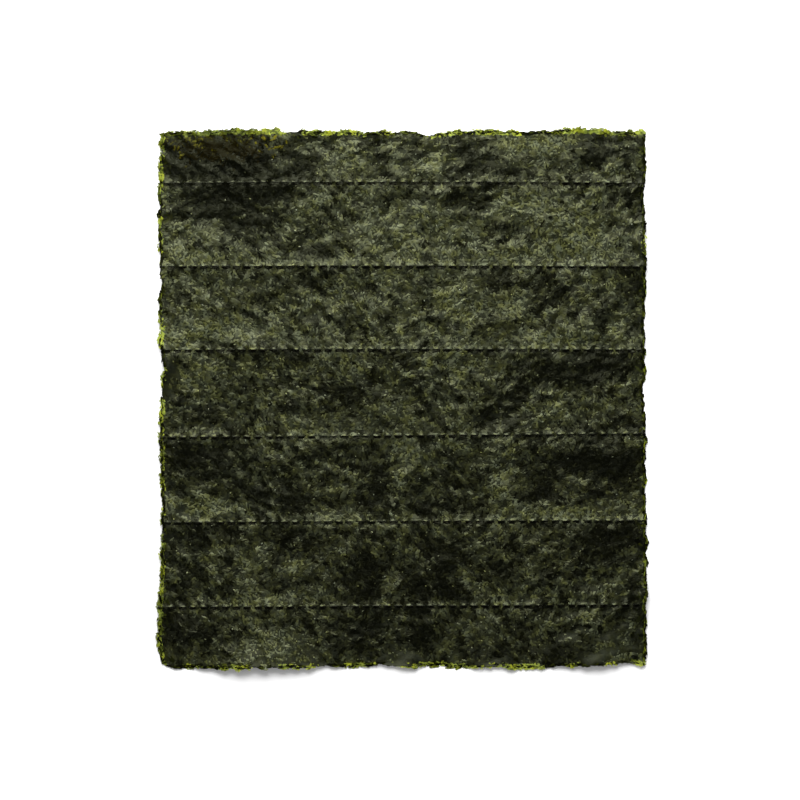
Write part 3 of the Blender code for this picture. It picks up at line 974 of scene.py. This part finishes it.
def line_shreds(rng, kind):
    """The places, turns, lengths and widths of shreds at every slit, or at every bridge between slits."""
    x, y = [], []
    for number, line in enumerate(TEAR_LINES):
        first = SLIT_PITCH * ((kind.phase + number / 2) % 1) + SLIT_SHIFT - SHEET_WIDTH / 2
        line_x = first + SLIT_PITCH * np.repeat(np.arange(SLITS_ACROSS), kind.each)
        line_x += rng.uniform(-kind.stray_x, kind.stray_x, len(line_x))
        x.append(line_x)
        y.append(SHEET_LENGTH / 2 - line.drop - line_shift(line, line_x) - kind.below)
    x, y = np.concatenate(x), np.concatenate(y)
    kept = abs(x) < SHEET_WIDTH / 2 - RIM_CLEARANCE
    x, y = x[kept], y[kept] + rng.uniform(-kind.stray_y, kind.stray_y, kept.sum())
    turn = rng.normal(kind.turn, kind.spread, len(x))
    out_x, out_y = rim_outwards(x, y)
    return x + out_x, y + out_y, turn, rng.uniform(*kind.lengths, len(x)), rng.uniform(*kind.widths, len(x))


SHRED_KINDS = [
    BitKind("black", 0.26, (0.0005, 0.0006, 0.0002), (0.0038, 0.0042, 0.0014), 0.4, 0.8, 0.055),
    BitKind("deep", 0.26, (0.0017, 0.0019, 0.0006), (0.0092, 0.0102, 0.003), 0.45, 0.9, 0.165),
    BitKind("olive", 0.25, (0.003, 0.0033, 0.0011), (0.0182, 0.0203, 0.007), 0.45, 0.9, 0.26),
    BitKind("pale", 0.23, (0.0064, 0.0071, 0.0027), (0.0415, 0.0455, 0.019), 0.38, 0.9, 0.35),
]
shred_rng = np.random.default_rng(7)
mat_shreds = scattered(shred_rng, SHRED_COUNT, SHRED_LENGTHS, SHRED_WIDTHS, SHRED_SHORTNESS)
shreds = [np.concatenate(values) for values in zip(mat_shreds, line_shreds(shred_rng, BRIDGE_SHREDS))]
make_pieces(shred_rng, "seaweed_shreds", SHRED_KINDS, SHRED_SHAPE, shreds)

# Larger soft flakes that lie on top in patches, where they swelled and dried smooth.
SMOOTH_COUNT = 2000
SMOOTH_PATCH_WAVE = 14 * MM
SMOOTH_PATCH_RIMS = (-0.3, 0.4)
SMOOTH_LENGTHS = (2.5 * MM, 7.0 * MM)
SMOOTH_WIDTHS = (1.2 * MM, 2.8 * MM)
SMOOTH_SHAPE = BitShape(
    corners=12, raggedness=0.3, bend=0.12, tilt=4, thickness=0.3 * MM, lift=(-0.06 * MM, 0.03 * MM)
)
SMOOTH_KINDS = [
    BitKind("smooth_dark", 0.4, (0.0007, 0.0008, 0.0003), (0.0065, 0.007, 0.0028), 0.4, 1.0, 0.08),
    BitKind("smooth_olive", 0.6, (0.0016, 0.0018, 0.0008), (0.02, 0.0215, 0.0088), 0.4, 1.2, 0.22),
]
smooth = scattered(shred_rng, SMOOTH_COUNT, SMOOTH_LENGTHS, SMOOTH_WIDTHS, FLAKE_SHORTNESS)
patch_rim = shred_rng.uniform(*SMOOTH_PATCH_RIMS, len(smooth[0]))
in_a_patch = wave(smooth[0], smooth[1], SMOOTH_PATCH_WAVE, "smooth") > patch_rim
smooth = [values[in_a_patch] for values in smooth]
make_pieces(shred_rng, "seaweed_flakes", SMOOTH_KINDS, SMOOTH_SHAPE, smooth)

# Specks: tiny pale bits that glint; their pale colour is partly painted glint.
SPECK_COUNT = 500
SPECK_LENGTHS = (0.5 * MM, 1.1 * MM)
SPECK_WIDTHS = (0.35 * MM, 0.6 * MM)
SPECK_SHAPE = SHRED_SHAPE._replace(tilt=8, thickness=0.1 * MM, lift=(0.06 * MM, 0.12 * MM))
SPECK_KIND = BitKind("specks", 1, (0.012, 0.013, 0.006), (0.15, 0.16, 0.085), 0.45, 0.9, 0.4)
specks = scattered(shred_rng, SPECK_COUNT, SPECK_LENGTHS, SPECK_WIDTHS, FLAKE_SHORTNESS)
make_pieces(shred_rng, "seaweed", [SPECK_KIND], SPECK_SHAPE, specks)

# Near-black shreds at the foot of each slit: painted shade, where the raised lip shades the foot.
SLIT_SHADE_KIND = BitKind("slit_shade", 1, (0.0003, 0.0003, 0.0001), (0.0016, 0.0018, 0.0007), 0.4, 0.6, 0.04)
slit_shade = line_shreds(shred_rng, SLIT_SHADE_SHREDS)
make_pieces(shred_rng, "seaweed_shreds", [SLIT_SHADE_KIND], SLIT_SHADE_SHAPE, slit_shade)

# Pale shreds on the lip of each slit: painted highlight, where the raised lip faces the lamp.
LIP_HIGHLIGHT_KIND = BitKind("lip", 1, (0.005, 0.0055, 0.0022), (0.064, 0.07, 0.029), 0.4, 1.2, 0.26)
lip_highlights = line_shreds(shred_rng, LIP_HIGHLIGHT_SHREDS)
make_pieces(shred_rng, "seaweed_shreds", [LIP_HIGHLIGHT_KIND], LIP_HIGHLIGHT_SHAPE, lip_highlights)

# The underside: wider shreds pressed flat against the screen that the mat dried on.
UNDER_COUNT = 9000
UNDER_CLEARANCE = 0.2 * MM
UNDER_LENGTHS = (1.2 * MM, 3.8 * MM)
UNDER_WIDTHS = (0.8 * MM, 1.7 * MM)
UNDER_SHAPE = SHRED_SHAPE._replace(tilt=4, thickness=0.12 * MM, lift=(-0.06 * MM, 0.0))
UNDER_KINDS = [
    BitKind("under_dark", 0.5, (0.0008, 0.0009, 0.0004), (0.007, 0.0077, 0.0028), 0.4, 1.0, 0.14),
    BitKind("under_olive", 0.5, (0.0016, 0.0018, 0.0007), (0.013, 0.0144, 0.0054), 0.45, 1.0, 0.18),
]
under = scattered(shred_rng, UNDER_COUNT, UNDER_LENGTHS, UNDER_WIDTHS, SHRED_SHORTNESS)
off_the_table = underside(under[0], under[1]) > UNDER_CLEARANCE
under = [values[off_the_table] for values in under]
make_pieces(shred_rng, "seaweed_shreds", UNDER_KINDS, UNDER_SHAPE, under, side=underside)

# ---------------------------------------------------------------------------------------------------------
# The torn rim: the mat's thin outermost edge, where it was peeled from its screen. Black shreds, which paint
# the shade along the edge where it turns down, and single thin ones, yellow-green where light shines through
# them, stick out from it in turn.

RimShreds = namedtuple("RimShreds", "kind shares per_mm inwards spread lengths widths lift")
RIM_PATCH_WAVE = 9 * MM
RIM_PATCH_SPREAD = 1.2
# The black of these rim shreds is painted shade: the dark line where the rim turns down and shades itself.
BLACK_SHADE_RIM = RimShreds(
    BitKind("black", 1, (0.0003, 0.0003, 0.0001), (0.0014, 0.0016, 0.0006), 0.4, 0.8, 0.02),
    shares={"far": 0.45, "left": 0.8, "near": 0.7, "right": 1.6},
    per_mm=4.0,
    inwards=(0.0 * MM, 0.9 * MM),
    spread=math.radians(10),
    lengths=(1.4 * MM, 3.4 * MM),
    widths=(0.5 * MM, 0.9 * MM),
    lift=(0.12 * MM, 0.2 * MM),
)
GREEN_RIM = RimShreds(
    BitKind("green", 1, (0.035, 0.044, 0.004), (0.31, 0.35, 0.045), 0.42, 1.2, 0.1, alpha=0.6),
    shares={"far": 0.65, "left": 0.6, "near": 0.4, "right": -0.75},
    per_mm=7.0,
    inwards=(-0.55 * MM, 1.3 * MM),
    spread=math.radians(28),
    lengths=(0.9 * MM, 2.6 * MM),
    widths=(0.5 * MM, 1.2 * MM),
    lift=(0.0 * MM, 0.2 * MM),
)


def rim_shreds(rng, sort):
    """The places, turns, lengths and widths of one sort of shreds, in patches along the four edges."""
    edges = []
    for number, edge in enumerate(EDGES):
        run = SHEET_LENGTH if edge in ("left", "right") else SHEET_WIDTH
        place = rng.uniform(-run / 2, run / 2, round(run / MM * sort.per_mm))
        patch = wave(place, np.full_like(place, number * SHEET_WIDTH), RIM_PATCH_WAVE, sort.kind.name)
        place = place[sort.shares[edge] + RIM_PATCH_SPREAD * patch > rng.random(len(place))]
        inwards = rng.uniform(*sort.inwards, len(place))
        if edge in ("left", "right"):
            x, y = (SHEET_WIDTH / 2 - inwards) * (-1 if edge == "left" else 1), place
        else:
            x, y = place, (SHEET_LENGTH / 2 - inwards) * (-1 if edge == "near" else 1)
        turn = rng.normal(math.pi / 2 if edge in ("left", "right") else 0, sort.spread, len(place))
        edges.append((x, y, turn))
    x, y, turn = [np.concatenate(values) for values in zip(*edges)]
    x, y = round_the_corners(x, y)
    out_x, out_y = rim_outwards(x, y)
    return x + out_x, y + out_y, turn, rng.uniform(*sort.lengths, len(x)), rng.uniform(*sort.widths, len(x))


rim_rng = np.random.default_rng(11)
for sort in (BLACK_SHADE_RIM, GREEN_RIM):
    rim = rim_shreds(rim_rng, sort)
    make_pieces(rim_rng, "rim_shreds", [sort.kind], SHRED_SHAPE._replace(lift=sort.lift), rim)

# Shreds roasted brown, in the thinnest patch of the mat, by its far left corner.
BROWN_COUNT = 600
BROWN_MIDDLE = (-72 * MM, 98.5 * MM)
BROWN_SPREAD = (9 * MM, 2.4 * MM)
BROWN_SHAPE = SHRED_SHAPE._replace(lift=(0.0, 0.12 * MM))
BROWN_KIND = BitKind("brown", 1, (0.003, 0.0023, 0.0005), (0.075, 0.068, 0.006), 0.62, 1.5, 0.03)
brown_x = BROWN_MIDDLE[0] + rim_rng.normal(0, BROWN_SPREAD[0], BROWN_COUNT)
brown_y = BROWN_MIDDLE[1] + rim_rng.normal(0, BROWN_SPREAD[1], BROWN_COUNT)
brown_kept = (brown_x > RIM_CLEARANCE - SHEET_WIDTH / 2) & (brown_y < SHEET_LENGTH / 2 - RIM_CLEARANCE)
brown_x, brown_y = brown_x[brown_kept], brown_y[brown_kept]
brown_turn = rim_rng.normal(0, FLOW_SPREAD, len(brown_x))
brown_length = rim_rng.uniform(*SHRED_LENGTHS, len(brown_x))
brown_width = rim_rng.uniform(*SHRED_WIDTHS, len(brown_x))
brown = (brown_x, brown_y, brown_turn, brown_length, brown_width)
make_pieces(rim_rng, "seaweed_shreds", [BROWN_KIND], BROWN_SHAPE, brown)

# ---------------------------------------------------------------------------------------------------------
# The table, the light and the camera: a white table under one soft lamp beyond the sheet's far edge, seen
# from straight above.

TABLE_SIZE = 6.0
TABLE_WHITE = (0.86, 0.86, 0.86, 1)
TABLE_ROUGHNESS = 0.9
TABLE_GLOSS = 0.1
bpy.ops.mesh.primitive_plane_add(size=TABLE_SIZE)
table = bpy.context.active_object
table.name = "table"
white = bpy.data.materials.new("white table")
white.use_nodes = True
white_shader = white.node_tree.nodes["Principled BSDF"]
white_shader.inputs["Base Color"].default_value = TABLE_WHITE
white_shader.inputs["Roughness"].default_value = TABLE_ROUGHNESS
white_shader.inputs["Specular IOR Level"].default_value = TABLE_GLOSS
table.data.materials.append(white)

LAMP_DISTANCE = 0.52
LAMP_FROM_UPRIGHT = math.radians(52)
LAMP_ASIDE = -0.08
LAMP_SIZE = 0.7
LAMP_POWER = 10.3
lamp = bpy.data.lights.new("soft lamp", "AREA")
lamp.shape = "DISK"
lamp.size = LAMP_SIZE
lamp.energy = LAMP_POWER
lamp_object = bpy.data.objects.new("soft lamp", lamp)
bpy.context.scene.collection.objects.link(lamp_object)
lamp_at = LAMP_DISTANCE * Vector((LAMP_ASIDE, math.sin(LAMP_FROM_UPRIGHT), math.cos(LAMP_FROM_UPRIGHT)))
lamp_object.location = lamp_at
lamp_object.rotation_euler = lamp_at.to_track_quat("Z", "Y").to_euler()

ROOM_LIGHT = 0.5
ROOM_SEEN = 0.95
room = bpy.data.worlds.new("pale room")
bpy.context.scene.world = room
room.use_nodes = True
room_tree = room.node_tree
path = room_tree.nodes.new("ShaderNodeLightPath")
strength = room_tree.nodes.new("ShaderNodeMapRange")
strength.inputs["To Min"].default_value = ROOM_LIGHT
strength.inputs["To Max"].default_value = ROOM_SEEN
room_tree.links.new(path.outputs["Is Camera Ray"], strength.inputs["Value"])
room_tree.nodes["Background"].inputs["Color"].default_value = (1, 1, 1, 1)
room_tree.links.new(strength.outputs["Result"], room_tree.nodes["Background"].inputs["Strength"])
bpy.context.scene.view_settings.view_transform = "Standard"

PIXELS_PER_MM = 2.56
FRAME_PIXELS = 800
SHEET_MIDDLE_PIXEL = (403.0, 399.9)
CAMERA_HEIGHT = 2.4
CAMERA_REACH = 10
SENSOR = 36.0
view = bpy.data.cameras.new("camera")
view.sensor_width = SENSOR
view.lens = SENSOR * CAMERA_HEIGHT / (FRAME_PIXELS / PIXELS_PER_MM * MM)
view.clip_end = CAMERA_REACH
camera = bpy.data.objects.new("camera", view)
bpy.context.scene.collection.objects.link(camera)
camera.location = (
    TO_THE_MIDDLE[0] + (FRAME_PIXELS / 2 - SHEET_MIDDLE_PIXEL[0]) / PIXELS_PER_MM * MM,
    TO_THE_MIDDLE[1] - (FRAME_PIXELS / 2 - SHEET_MIDDLE_PIXEL[1]) / PIXELS_PER_MM * MM,
    CAMERA_HEIGHT,
)
bpy.context.scene.camera = camera
